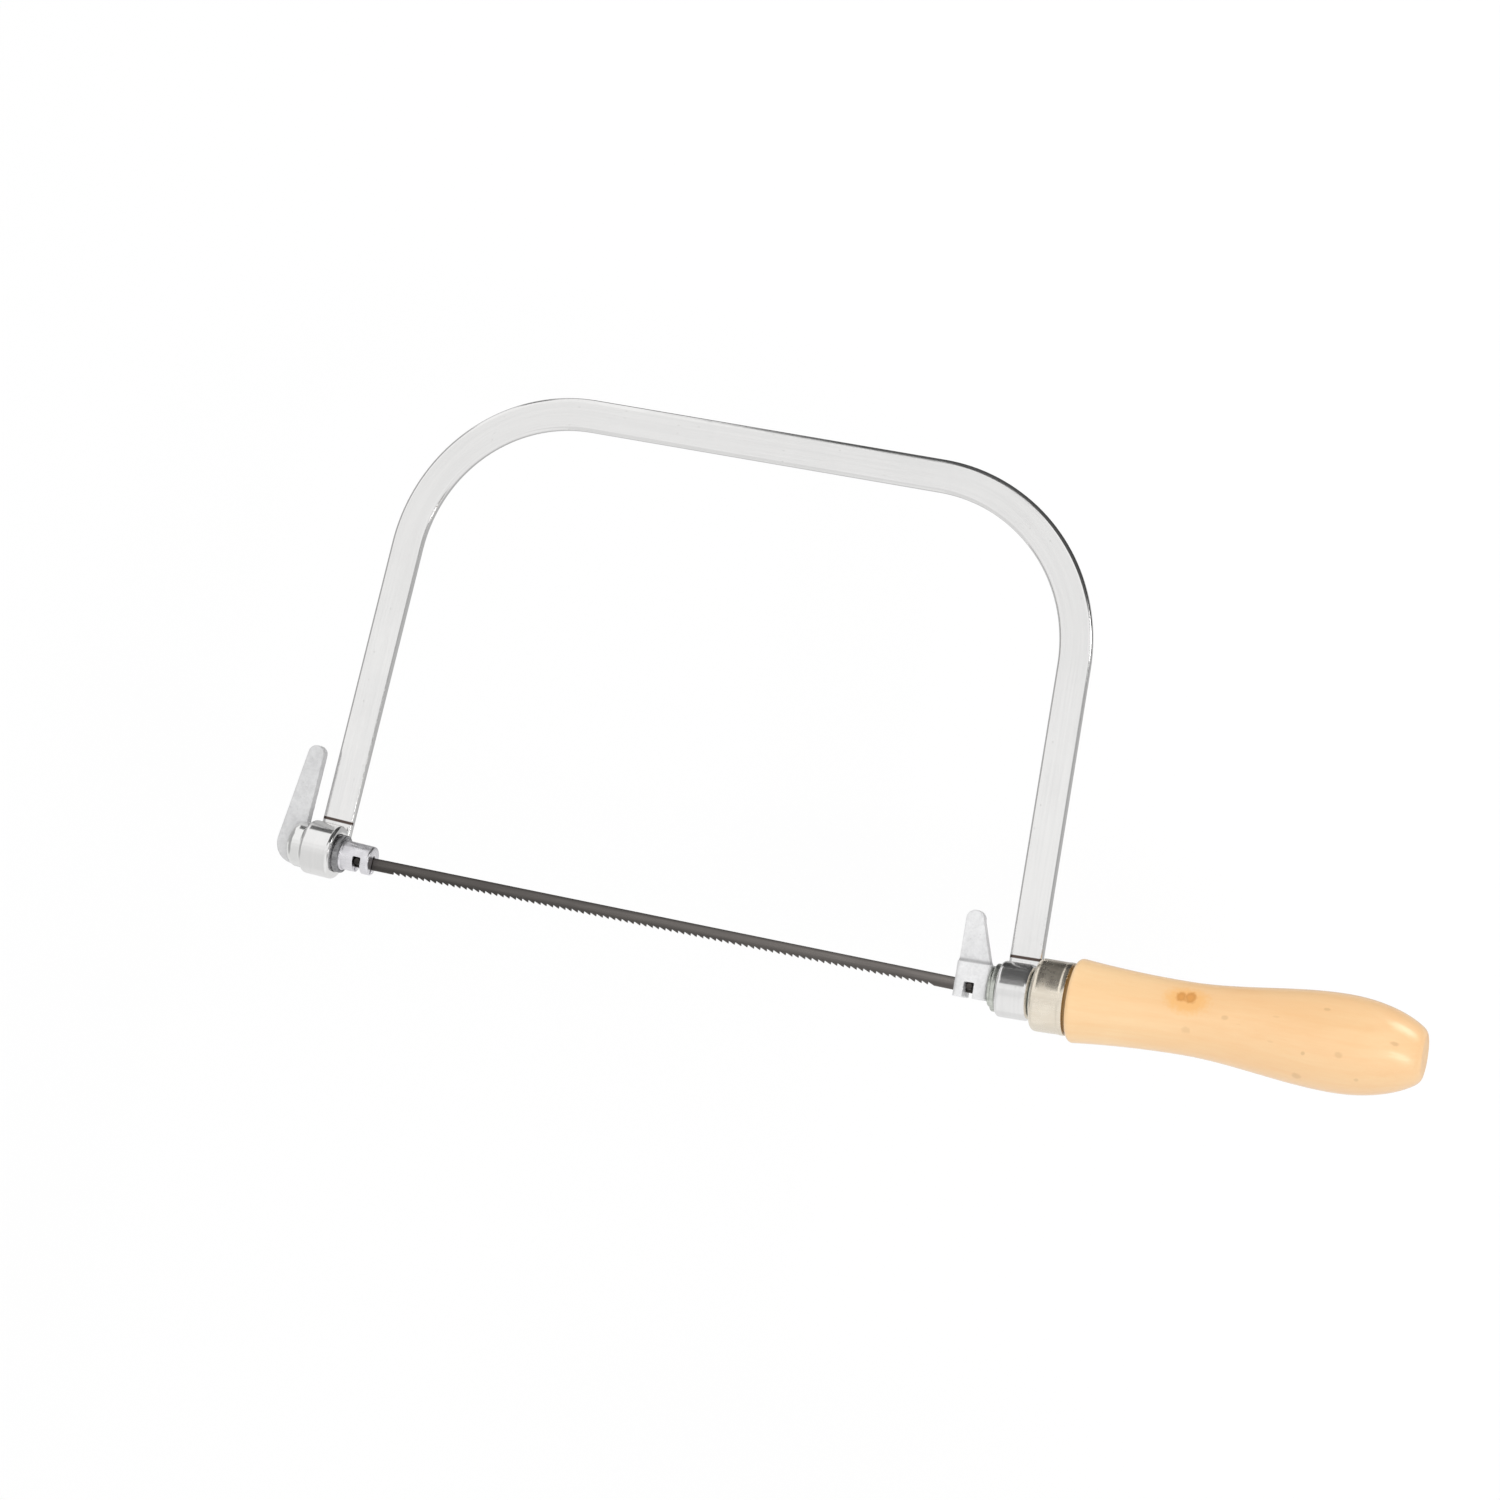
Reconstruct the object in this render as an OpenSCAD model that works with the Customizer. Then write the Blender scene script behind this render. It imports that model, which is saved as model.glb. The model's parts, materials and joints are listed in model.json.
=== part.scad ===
// Coping saw. A sprung bow of flat bar has both ends rolled into eyes. A blade with cross pins hangs
// between two slotted spigots that swivel in the eyes, and a screw handle draws it tight.
// X runs along the blade from toe to handle, Z points up to the bow's back, and the origin is on the
// spigot axis midway between the blade pins. Lengths are millimetres, angles are degrees.

/* [Blade] */
// Distance between the two blade pins
pin_span = 165; // [130:1:200]
// Height of the blade over its teeth
blade_h = 3.2; // [2.4:0.1:4]
// Thickness of the blade
blade_t = 0.5; // [0.3:0.05:0.7]
// Blade left beyond each pin
blade_overhang = 1.7; // [1.5:0.1:2]
// Plain blade at each end, from the pin to the first tooth
plain_end = 9; // [7:0.5:40]
// Distance from one tooth to the next
tooth_pitch = 1.7; // [0.8:0.1:3]
// Depth of a tooth
tooth_depth = 0.7; // [0.3:0.05:1]
// Diameter of the blade pins
pin_d = 1.7; // [1.2:0.1:1.8]
// Length of the blade pins
pin_len = 6.2; // [4:0.1:6.4]
// Drop of the pins below the spigot axis
pin_drop = 0.8; // [0.6:0.1:1.4]

/* [Bow] */
// Width of the flat bar
bar_w = 8.4; // [6:0.1:12]
// Thickness of the flat bar
bar_t = 2.8; // [2.4:0.1:3.2]
// Rounding of the bar's long edges
bar_edge_r = 1.0; // [0.3:0.05:1]
// Height of the middle of the bow's back above the spigot axis
back_h = 123.7; // [90:0.1:180]
// Bend radius of the bow's corners, at the middle of the bar
corner_r = 43; // [20:0.5:60]
// Lean of each leg, which closes the bow in towards its back
splay = 2.3; // [0:0.1:4]
// Outside diameter of the rolled eyes
eye_d = 14; // [13:0.1:14.6]
// Gap left where the rolled end meets the leg
seam = 0.3; // [0.1:0.05:1]

/* [Toe swivel] */
// Diameter of the slotted toe head
toe_head_d = 7.6; // [7.2:0.1:9]
// Toe head in front of the pin
toe_nose = 3.3; // [2.5:0.1:4]
// Toe head behind the pin
toe_neck = 4.7; // [4:0.1:7]
// Rounding of the toe head's front edge
toe_edge_r = 0.5; // [0.2:0.1:1]
// Width of the pin notch in the toe head
toe_notch_w = 2.1; // [2.1:0.1:2.8]
// Outside diameter of the toe washer
toe_washer_d = 9.8; // [9.2:0.1:12]
// Thickness of the toe washer
toe_washer_t = 1.7; // [0.8:0.1:2.5]
// Diameter of the spigot's tail in the lever's hub
tail_d = 5; // [4:0.1:6]
// Diameter of the lever's hub
hub_d = 12; // [10:0.1:13]
// Length of the lever's hub
hub_len = 5.4; // [4:0.1:8]
// Length of the hub's straight part, before its dome
hub_straight = 2; // [1:0.1:3]
// Height of the toe lever's tip above the axis
toe_lever_h = 25.8; // [18:0.1:35]
// Radius of the toe lever's tip
toe_tip_r = 2.2; // [1.5:0.05:3]
// Radius of the toe lever's foot, round the hub
toe_foot_r = 5.5; // [5:0.1:7]
// From the hub's inner face to the middle of the lever's foot
toe_foot_at = 2.9; // [2.6:0.1:4]
// From the hub's inner face to the lever's straight edge
toe_lever_inset = 1.5; // [1:0.1:3]
// Thickness of both levers
lever_t = 3; // [2:0.1:4]

/* [Heel clamp] */
// Clamp block in front of the pin
clamp_nose = 3.9; // [3:0.1:5]
// Clamp block behind the pin
clamp_neck = 4.9; // [4.2:0.1:7]
// Top of the clamp block above the axis
clamp_top = 5.2; // [4.5:0.1:7]
// Bottom of the clamp block below the axis
clamp_bottom = 3.7; // [3.4:0.1:5]
// Thickness of the clamp block, across the blade
clamp_t = 8; // [7.4:0.1:10]
// Rounding of the clamp block's upright edges
clamp_edge_r = 1.2; // [0.5:0.1:2]
// Width of the pin notch in the clamp block
heel_notch_w = 2.6; // [2.1:0.1:3]
// Height of the heel lever's tip above the axis
heel_lever_h = 18.2; // [14:0.2:26]
// Radius of the heel lever's tip
heel_tip_r = 2.3; // [1.5:0.05:2.6]
// Width of the heel lever at its foot
heel_foot_w = 8; // [6:0.1:8.4]
// Radius of the fillet between the heel lever and the clamp block
heel_fillet_r = 1.2; // [0.8:0.1:2.4]
// Diameter of the heel washer
heel_washer_d = 9.8; // [8:0.1:12]
// Thickness of the heel washer
heel_washer_t = 0.8; // [0.5:0.1:2]
// Diameter of the bush's flange
flange_d = 12; // [9:0.1:13]
// Thickness of the bush's flange
flange_t = 1.2; // [0.8:0.1:2.5]

/* [Handle] */
// Diameter of the tension rod over its thread
rod_d = 6; // [5:0.1:6.4]
// Length of the tension rod
rod_len = 40; // [34:0.5:60]
// Diameter of the thrust washer
thrust_d = 12; // [9:0.1:14]
// Thickness of the thrust washer
thrust_t = 0.6; // [0.4:0.1:1.5]
// Outside diameter of the ferrule
ferrule_d = 18.2; // [16:0.1:20]
// Length of the ferrule
ferrule_len = 8.7; // [6:0.1:14]
// Wall of the ferrule
ferrule_wall = 0.8; // [0.5:0.05:1.2]
// Rounding of the ferrule's front edge
ferrule_edge_r = 1.6; // [1.2:0.1:2]
// Bare tenon that shows between the ferrule and the handle's shoulder
tenon_gap = 0.8; // [0.3:0.1:1.5]
// Length of the handle behind its shoulder
handle_len = 87.2; // [75:0.1:110]
// Diameter of the handle at its shoulder
shoulder_d = 21.2; // [19:0.1:24]
// Rounding of the handle's shoulder
shoulder_r = 1.4; // [0.5:0.1:2]
// Diameter of the handle's waist
waist_d = 18; // [16:0.1:20]
// From the shoulder to the waist
waist_at = 28.5; // [24:0.5:36]
// Diameter of the handle's swell
swell_d = 24.2; // [21:0.1:28]
// From the shoulder to the swell
swell_at = 66.5; // [56:0.5:72]
// Diameter of the flat butt
butt_d = 12.2; // [8:0.1:16]
// Width of the hexagon nut across its flats
nut_flats = 10; // [9:0.1:11]
// Length of the hexagon nut
nut_len = 18; // [12:0.5:24]

/* [Fits] */
// Radial clearance of a piece that turns or slides on another
running_fit = 0.06; // [0.02:0.01:0.1]
// End float between faces that turn on each other
face_gap = 0.1; // [0.05:0.05:0.2]
// Clearance of the blade on each side in its slots
slot_room = 0.3; // [0.25:0.05:0.4]
// Clearance of a hole that the rod only passes through
hole_room = 0.3; // [0.2:0.05:0.5]

/* [Hidden] */
$fn = 64;

// Length by which every cut runs past the piece that it cuts
overrun = 1;
// Steps of a rounded edge and of a swelling profile
edge_steps = 5;
profile_steps = 12;

// Middle of each eye, measured out along its spigot axis from the blade pin
toe_reach = toe_neck + toe_washer_t + 2 * face_gap + bar_w / 2;
heel_reach = clamp_neck + heel_washer_t + flange_t + 2 * face_gap + bar_w / 2;
// The bar rolls forward into the eye, so the bow's plane lies behind the spigot axis
eye_bore_r = eye_d / 2 - bar_t;
eye_mid_r = (eye_d - bar_t) / 2;
roll_angle = 360 - acos((eye_bore_r - seam) / (eye_d / 2));
// Draw of the bar's section at a bend, and the angle by which a bend runs on into the straight bar
bend_draw = 0.02;
bend_lap = 1;

slot_w = blade_t + 2 * slot_room;
slot_top = blade_h / 2 - pin_drop + 2 * slot_room;
slot_depth = blade_overhang + slot_room;
notch_top = pin_d / 2 - pin_drop + slot_room / 2;

// Stations along the toe axis
toe_eye_out = toe_reach + bar_w / 2;
hub_face = toe_eye_out + face_gap;
toe_lever_face = hub_face + toe_lever_inset;

// Stations along the heel axis
washer_face = clamp_neck;
flange_face = washer_face + heel_washer_t + face_gap;
heel_eye_out = heel_reach + bar_w / 2;
thrust_face = heel_eye_out + face_gap;
ferrule_face = thrust_face + thrust_t + face_gap;
tenon_face = ferrule_face + ferrule_wall;
shoulder_face = ferrule_face + ferrule_len + tenon_gap;
rod_start = slot_depth + slot_room;
rod_end = rod_start + rod_len;
nut_end = tenon_face + nut_len;
tenon_d = ferrule_d - 2 * ferrule_wall;

// The end of the saw at the toe or the heel: X runs outwards along the spigot axis from the blade pin
module toe_end() {
    mirror([1, 0, 0]) heel_end() children();
}

module heel_end() {
    translate([pin_span / 2, 0, 0]) rotate([0, -splay, 0]) children();
}

// A round bar or bore along the spigot axis
module along_axis(from, to, d) {
    translate([from, 0, 0]) rotate([0, 90, 0]) cylinder(h = to - from, d = d);
}

// A ring round the spigot axis
module ring(from, to, d, bore_d) {
    difference() {
        along_axis(from, to, d);
        along_axis(from - overrun, to + overrun, bore_d);
    }
}

// A turned piece: the outline's X is the station on the spigot axis, its Y is the radius
module turned() {
    rotate([0, 90, 0]) rotate_extrude() rotate(90) mirror([0, 1]) children();
}

// A flat piece in the saw's plane, drawn with X along the axis and Y up
module plate(thickness) {
    translate([0, thickness / 2, 0]) rotate([90, 0, 0]) linear_extrude(thickness) children();
}

// Points of a quarter round from one angle to another
function arc_points(centre, r, from, to) = [
    for (i = [0 : edge_steps])
        let (a = from + (to - from) * i / edge_steps) centre + r * [cos(a), sin(a)]
];

// Two discs joined by their outer tangents
module tapered_link(foot, foot_r, tip, tip_r) {
    run = tip - foot;
    lean = atan2(run[1], run[0]);
    spread = acos((foot_r - tip_r) / norm(run));
    translate(foot) circle(foot_r);
    translate(tip) circle(tip_r);
    polygon([
        foot + foot_r * [cos(lean + spread), sin(lean + spread)],
        tip + tip_r * [cos(lean + spread), sin(lean + spread)],
        tip + tip_r * [cos(lean - spread), sin(lean - spread)],
        foot + foot_r * [cos(lean - spread), sin(lean - spread)]
    ]);
}

// Section of the flat bar, thickness along X and width along Y, drawn in a little at a bend
module bar_section(draw) {
    half_t = bar_t / 2 - draw;
    half_w = bar_w / 2 - draw;
    square(2 * [half_t - bar_edge_r, half_w], center = true);
    square(2 * [half_t, half_w - bar_edge_r], center = true);
    for (x = [-1, 1], y = [-1, 1])
        translate([x * (half_t - bar_edge_r), y * (half_w - bar_edge_r)]) circle(bar_edge_r);
}

// Straight run of a leg from its eye to the corner, and where the corner leaves the back
function leg_length(reach) = (back_h - corner_r - (reach - corner_r) * sin(splay)) / cos(splay);
function corner_x(reach) = pin_span / 2 + (reach - corner_r) * cos(splay) - leg_length(reach) * sin(splay);

// The bow beyond its back, on the heel side: the corner, the leg and the eye rolled at its foot
module bow_end(reach) {
    translate([corner_x(reach), eye_mid_r, back_h - corner_r]) {
        rotate([0, -90, -90]) rotate(-bend_lap) rotate_extrude(angle = 90 - splay + 2 * bend_lap)
            translate([corner_r, 0]) rotate(90) bar_section(bend_draw);
        rotate([0, -splay, 0]) translate([corner_r, 0, -leg_length(reach)]) {
            linear_extrude(leg_length(reach)) rotate(90) bar_section(0);
            translate([0, -eye_mid_r, 0]) rotate([0, -90, 0]) rotate(90 - bend_lap)
                rotate_extrude(angle = roll_angle + bend_lap)
                    translate([eye_mid_r, 0]) bar_section(bend_draw);
        }
    }
}

module bow() {
    color("gainsboro") {
        mirror([1, 0, 0]) bow_end(toe_reach);
        bow_end(heel_reach);
        translate([-corner_x(toe_reach), eye_mid_r, back_h]) rotate([0, 90, 0])
            linear_extrude(corner_x(toe_reach) + corner_x(heel_reach)) rotate(90) bar_section(0);
    }
}

// The slot that the blade lies in and the notch that its pin hooks into, both open below
module blade_seat(nose, notch_w, below) {
    depth = below + overrun;
    translate([-nose - overrun, -slot_w / 2, -depth])
        cube([nose + overrun + slot_depth, slot_w, depth + slot_top]);
    translate([-notch_w / 2, -below - overrun, -depth])
        cube([notch_w, 2 * (below + overrun), depth + notch_top]);
}

module toe_spigot() {
    color("lightgray") toe_end() {
        difference() {
            turned() polygon(concat(
                [[toe_neck, 0], [-toe_nose, 0]],
                arc_points([toe_edge_r - toe_nose, toe_head_d / 2 - toe_edge_r], toe_edge_r, 180, 90),
                [[toe_neck, toe_head_d / 2]]
            ));
            blade_seat(toe_nose, toe_notch_w, toe_head_d / 2);
        }
        along_axis(toe_neck, hub_face, 2 * (eye_bore_r - running_fit));
        along_axis(hub_face, hub_face + hub_straight, tail_d);
    }
}

// Outline of half the hub: straight, then a quarter ellipse
function hub_outline() = concat(
    [[hub_face, 0], [hub_face, hub_d / 2]],
    [for (i = [0 : profile_steps])
        let (a = 90 * i / profile_steps)
            [hub_face + hub_straight + (hub_len - hub_straight) * sin(a), hub_d / 2 * cos(a)]]
);

module toe_lever() {
    foot = [hub_face + toe_foot_at, 0];
    tip = [toe_lever_face + toe_tip_r, toe_lever_h - toe_tip_r];
    color("silver") toe_end() difference() {
        union() {
            turned() polygon(hub_outline());
            plate(lever_t) intersection() {
                tapered_link(foot, toe_foot_r, tip, toe_tip_r);
                translate([toe_lever_face, -toe_foot_r]) square([2 * toe_foot_r, toe_foot_r + toe_lever_h]);
            }
        }
        along_axis(hub_face - overrun, hub_face + hub_straight, tail_d);
    }
}

module toe_washer() {
    color("dimgray") toe_end()
        ring(toe_neck + face_gap, toe_neck + face_gap + toe_washer_t, toe_washer_d, 2 * eye_bore_r);
}

// The blade's outline: teeth along the lower edge lean towards the handle
teeth = floor((pin_span - 2 * plain_end) / tooth_pitch);
tooth_start = -teeth * tooth_pitch / 2;

module blade() {
    half = pin_span / 2 + blade_overhang;
    edge = -blade_h / 2;
    color("#3a3734") translate([0, 0, -pin_drop]) plate(blade_t) difference() {
        polygon(concat(
            [[half, edge], [half, blade_h / 2], [-half, blade_h / 2], [-half, edge], [tooth_start, edge]],
            [for (i = [0 : teeth - 1], tooth_end = [0, 1])
                [tooth_start + tooth_pitch * (i + tooth_end), edge + tooth_depth * (1 - tooth_end)]]
        ));
        for (end = [-1, 1])
            translate([end * pin_span / 2, 0]) circle(d = pin_d);
    }
}

module blade_pin(end) {
    color("#2b2a29") translate([end * pin_span / 2, pin_len / 2, -pin_drop])
        rotate([90, 0, 0]) cylinder(h = pin_len, d = pin_d);
}

module toe_pin() {
    blade_pin(-1);
}

module heel_pin() {
    blade_pin(1);
}

// Clamp block in plan, with rounded upright edges
module clamp_plan() {
    length = clamp_nose + clamp_neck;
    translate([-clamp_nose, -clamp_t / 2 + clamp_edge_r]) square([length, clamp_t - 2 * clamp_edge_r]);
    translate([-clamp_nose + clamp_edge_r, -clamp_t / 2]) square([length - 2 * clamp_edge_r, clamp_t]);
    for (x = [clamp_edge_r - clamp_nose, clamp_neck - clamp_edge_r], y = [-1, 1])
        translate([x, y * (clamp_t / 2 - clamp_edge_r)]) circle(clamp_edge_r);
}

// Section of the heel lever across the blade, with a fillet on each side where it meets the block
module lever_section() {
    foot_y = clamp_top + heel_fillet_r;
    foot_x = lever_t / 2 + heel_fillet_r;
    polygon(concat(
        [[-lever_t / 2, 0], [lever_t / 2, 0], [foot_x, 0]],
        arc_points([foot_x, foot_y], heel_fillet_r, 270, 180),
        [[lever_t / 2, heel_lever_h], [-lever_t / 2, heel_lever_h]],
        arc_points([-foot_x, foot_y], heel_fillet_r, 0, -90),
        [[-foot_x, 0]]
    ));
}

module heel_clamp() {
    front = -clamp_nose;
    tip = [front + heel_tip_r, heel_lever_h - heel_tip_r];
    foot = [front + heel_foot_w, clamp_top];
    run = foot - tip;
    fall = atan2(run[1], run[0]) + asin(heel_tip_r / norm(run));
    touch = tip + heel_tip_r * [cos(fall + 90), sin(fall + 90)];
    color("silver") heel_end() difference() {
        union() {
            translate([0, 0, -clamp_bottom]) linear_extrude(clamp_bottom + clamp_top) clamp_plan();
            intersection() {
                plate(clamp_t) {
                    translate(tip) circle(heel_tip_r);
                    polygon([[front, 0], [foot[0], 0], foot, touch, tip, [front, tip[1]]]);
                }
                translate([front, 0, 0]) rotate([90, 0, 90]) linear_extrude(heel_foot_w) lever_section();
            }
        }
        blade_seat(clamp_nose, heel_notch_w, clamp_t / 2);
        along_axis(rod_start, clamp_neck + overrun, rod_d);
    }
}

module tension_rod() {
    color("gray") heel_end() along_axis(rod_start, rod_end, rod_d);
}

module heel_washer() {
    color("darkgray") heel_end()
        ring(washer_face, washer_face + heel_washer_t, heel_washer_d, rod_d + 2 * hole_room);
}

module heel_bush() {
    color("lightgray") heel_end() {
        ring(flange_face, flange_face + flange_t, flange_d, rod_d + 2 * running_fit);
        ring(flange_face + flange_t, heel_eye_out, 2 * (eye_bore_r - running_fit), rod_d + 2 * running_fit);
    }
}

module thrust_washer() {
    color("lightgray") heel_end()
        ring(thrust_face, thrust_face + thrust_t, thrust_d, rod_d + 2 * hole_room);
}

module ferrule() {
    rear = ferrule_face + ferrule_len;
    bore_r = rod_d / 2 + hole_room;
    inner_r = ferrule_edge_r - ferrule_wall;
    color("gainsboro") heel_end() turned() polygon(concat(
        [[ferrule_face, bore_r]],
        arc_points([ferrule_face + ferrule_edge_r, ferrule_d / 2 - ferrule_edge_r], ferrule_edge_r, 180, 90),
        [[rear, ferrule_d / 2], [rear, tenon_d / 2]],
        arc_points([tenon_face + inner_r, tenon_d / 2 - inner_r], inner_r, 90, 180),
        [[tenon_face, bore_r]]
    ));
}

// Radius of the handle at a distance behind its shoulder: waist, swell and an elliptical end
butt_reach = (handle_len - swell_at) / sqrt(1 - pow(butt_d / swell_d, 2));
function ease(t) = t * t * (3 - 2 * t);
function handle_r(s) =
    s < waist_at ? waist_d / 2 + (shoulder_d - waist_d) / 2 * pow(1 - s / waist_at, 2) :
    s < swell_at ? (waist_d + (swell_d - waist_d) * ease((s - waist_at) / (swell_at - waist_at))) / 2 :
    swell_d / 2 * sqrt(1 - pow((s - swell_at) / butt_reach, 2));

module handle_outline() {
    inner_r = ferrule_edge_r - ferrule_wall;
    polygon(concat(
        [[tenon_face, 0]],
        arc_points([tenon_face + inner_r, tenon_d / 2 - inner_r], inner_r, 180, 90),
        [[shoulder_face, tenon_d / 2]],
        arc_points([shoulder_face + shoulder_r, handle_r(shoulder_r) - shoulder_r], shoulder_r, 180, 90),
        [for (i = [1 : profile_steps])
            let (s = shoulder_r + (waist_at - shoulder_r) * i / profile_steps)
                [shoulder_face + s, handle_r(s)]],
        [for (i = [1 : profile_steps])
            let (s = waist_at + (swell_at - waist_at) * i / profile_steps)
                [shoulder_face + s, handle_r(s)]],
        [for (i = [1 : profile_steps])
            let (s = swell_at + (handle_len - swell_at) * sin(90 * i / profile_steps))
                [shoulder_face + s, handle_r(s)]],
        [[shoulder_face + handle_len, 0]]
    ));
}

module handle() {
    color("burlywood") heel_end() difference() {
        turned() handle_outline();
        translate([tenon_face - overrun, 0, 0]) hexagon(nut_len + overrun);
        along_axis(nut_end - overrun, rod_end + hole_room, rod_d + 2 * hole_room);
    }
}

// A hexagon along the spigot axis, as wide as the nut
module hexagon(length) {
    rotate([0, 90, 0]) cylinder(h = length, d = nut_flats / cos(30), $fn = 6);
}

module handle_nut() {
    color("goldenrod") heel_end() difference() {
        translate([tenon_face, 0, 0]) hexagon(nut_len);
        along_axis(tenon_face - overrun, nut_end + overrun, rod_d + 2 * running_fit);
    }
}

bow();
toe_spigot();
toe_lever();
toe_washer();
blade();
toe_pin();
heel_pin();
heel_clamp();
tension_rod();
heel_washer();
heel_bush();
thrust_washer();
ferrule();
handle();
handle_nut();
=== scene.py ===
import json
import math

import bmesh
import bpy
from mathutils import Matrix, Vector


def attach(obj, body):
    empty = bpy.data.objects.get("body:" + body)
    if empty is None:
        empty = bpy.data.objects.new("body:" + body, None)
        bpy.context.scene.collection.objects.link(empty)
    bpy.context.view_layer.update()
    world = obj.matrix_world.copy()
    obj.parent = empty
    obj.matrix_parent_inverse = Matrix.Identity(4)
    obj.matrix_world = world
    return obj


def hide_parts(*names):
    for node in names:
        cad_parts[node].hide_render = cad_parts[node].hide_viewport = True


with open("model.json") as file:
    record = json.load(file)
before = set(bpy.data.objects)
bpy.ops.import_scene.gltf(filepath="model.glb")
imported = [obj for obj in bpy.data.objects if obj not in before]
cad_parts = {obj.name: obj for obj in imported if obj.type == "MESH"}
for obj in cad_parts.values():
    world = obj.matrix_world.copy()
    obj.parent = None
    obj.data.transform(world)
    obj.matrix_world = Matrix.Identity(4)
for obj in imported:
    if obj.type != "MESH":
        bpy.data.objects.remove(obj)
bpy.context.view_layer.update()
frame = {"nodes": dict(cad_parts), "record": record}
nodes = frame["nodes"]
record = frame["record"]
scene = bpy.context.scene
bodyOf = {node: body for body, members in record["behaviour"]["bodies"].items() for node in members}
slotOf = {part["node"]: part["material_slot"] for part in record["subparts"]}
finish = {}  # material of each slot
print("frame loaded with", len(nodes), "nodes")

# Lengths below are millimetres, and mm brings them to metres
mm = 0.001
perMillimetre = (1 / mm, 1 / mm, 1 / mm)
weld = 0.001  # points this close become one
saw = {"pinSpan": 165.0, "splay": math.radians(2.3), "pinDrop": 0.8}
halfSpan = saw["pinSpan"] / 2
tiltCos, tiltSin = math.cos(saw["splay"]), math.sin(saw["splay"])


def flip(v):  # across to the other end
    return Vector((-v.x, v.y, v.z))


def heelEnd(u, y, z):  # u runs out along the spigot axis from the blade pin
    return Vector((halfSpan + u * tiltCos - z * tiltSin, y, u * tiltSin + z * tiltCos)) * mm


def toeEnd(u, y, z):
    return flip(heelEnd(u, y, z))


def runLengths(points):  # distance along a line of points
    total, lengths = 0.0, [0.0]
    for first, second in zip(points, points[1:]):
        total += (Vector(second) - Vector(first)).length
        lengths.append(total)
    return lengths


# Node helpers

def put(tree, kind, sockets=None, **settings):
    made = tree.nodes.new("ShaderNode" + kind)
    for key, value in settings.items():
        setattr(made, key, value)
    for key, value in (sockets or {}).items():
        if isinstance(value, bpy.types.NodeSocket):
            tree.links.new(value, made.inputs[key])
        else:
            made.inputs[key].default_value = value
    return made


def useGroup(tree, group, sockets):
    return put(tree, "Group", sockets, node_tree=group).outputs


def calc(tree, operation, first, second=0.0):
    return put(tree, "Math", {0: first, 1: second}, operation=operation).outputs[0]


def times(tree, first, second):
    return calc(tree, "MULTIPLY", first, second)


def weigh(tree, *parts):  # sum of values, each with its weight
    total = None
    for value, weight in parts:
        part = times(tree, value, weight)
        total = part if total is None else calc(tree, "ADD", total, part)
    return total


def between(tree, value, low, high, outLow=0.0, outHigh=1.0):
    return put(tree, "MapRange", {0: value, 1: low, 2: high, 3: outLow, 4: outHigh},
               interpolation_type="SMOOTHSTEP").outputs[0]


def stretch(tree, vector, scale):
    return put(tree, "VectorMath", {0: vector, 1: scale}, operation="MULTIPLY").outputs[0]


def awayFrom(tree, vector, centre):
    return put(tree, "VectorMath", {0: vector, 1: centre}, operation="SUBTRACT").outputs[0]


def lengthOf(tree, vector):
    return put(tree, "VectorMath", {0: vector}, operation="LENGTH").outputs["Value"]


def split(tree, vector):
    return put(tree, "SeparateXYZ", {0: vector}).outputs


def noise(tree, vector, scale, detail=3.0, rough=0.5, distortion=0.0):
    return put(tree, "TexNoise", {"Vector": vector, "Scale": scale, "Detail": detail, "Roughness": rough,
                                  "Distortion": distortion}).outputs[0]


def sway(tree, vector, scale, detail, amount):  # noise to both sides of zero
    return times(tree, calc(tree, "SUBTRACT", noise(tree, vector, scale, detail), 0.5), amount)


def tint(tree, factor, first, second, mode="MIX"):
    return put(tree, "Mix", {0: factor, 6: first, 7: second}, data_type="RGBA", blend_type=mode).outputs[2]


def grey(level):
    return (level, level, level, 1)


# Effects that finishes share

def startGroup(name, inputs, outputs):
    tree = bpy.data.node_groups.new(name, "ShaderNodeTree")
    for way, sockets in (("INPUT", inputs), ("OUTPUT", outputs)):
        for label, kind in sockets:
            tree.interface.new_socket(name=label, in_out=way, socket_type="NodeSocket" + kind)
    return tree, tree.nodes.new("NodeGroupInput").outputs, tree.nodes.new("NodeGroupOutput")


streakLook = {"broadScale": 0.35, "broadDetail": 2.0, "broadShare": 0.45, "fineDetail": 4.0, "fineRough": 0.6,
              "fineShare": 0.55, "low": 0.36, "high": 0.64}


def makeStreaks():  # drawn or rolled grain: long along X of the vector, fine across it
    look = streakLook
    tree, given, out = startGroup("streaks", [("Vector", "Vector"), ("Length", "Float"), ("Fineness", "Float")],
                                  [("Shade", "Float"), ("Height", "Float")])
    squeeze = put(tree, "CombineXYZ", {0: calc(tree, "DIVIDE", 1.0, given["Length"]), 1: 1.0, 2: 1.0}).outputs[0]
    run = stretch(tree, given["Vector"], squeeze)
    broad = noise(tree, run, times(tree, given["Fineness"], look["broadScale"]), look["broadDetail"])
    fine = noise(tree, run, given["Fineness"], look["fineDetail"], look["fineRough"])
    both = weigh(tree, (broad, look["broadShare"]), (fine, look["fineShare"]))
    tree.links.new(between(tree, both, look["low"], look["high"]), out.inputs["Shade"])
    tree.links.new(fine, out.inputs["Height"])
    return tree


mottleLook = {"patchDetail": 5.0, "patchRough": 0.62, "swirl": 0.3, "low": 0.32, "high": 0.68,
              "grainScale": 7.0, "grainDetail": 3.0, "grainRough": 0.6}


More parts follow.
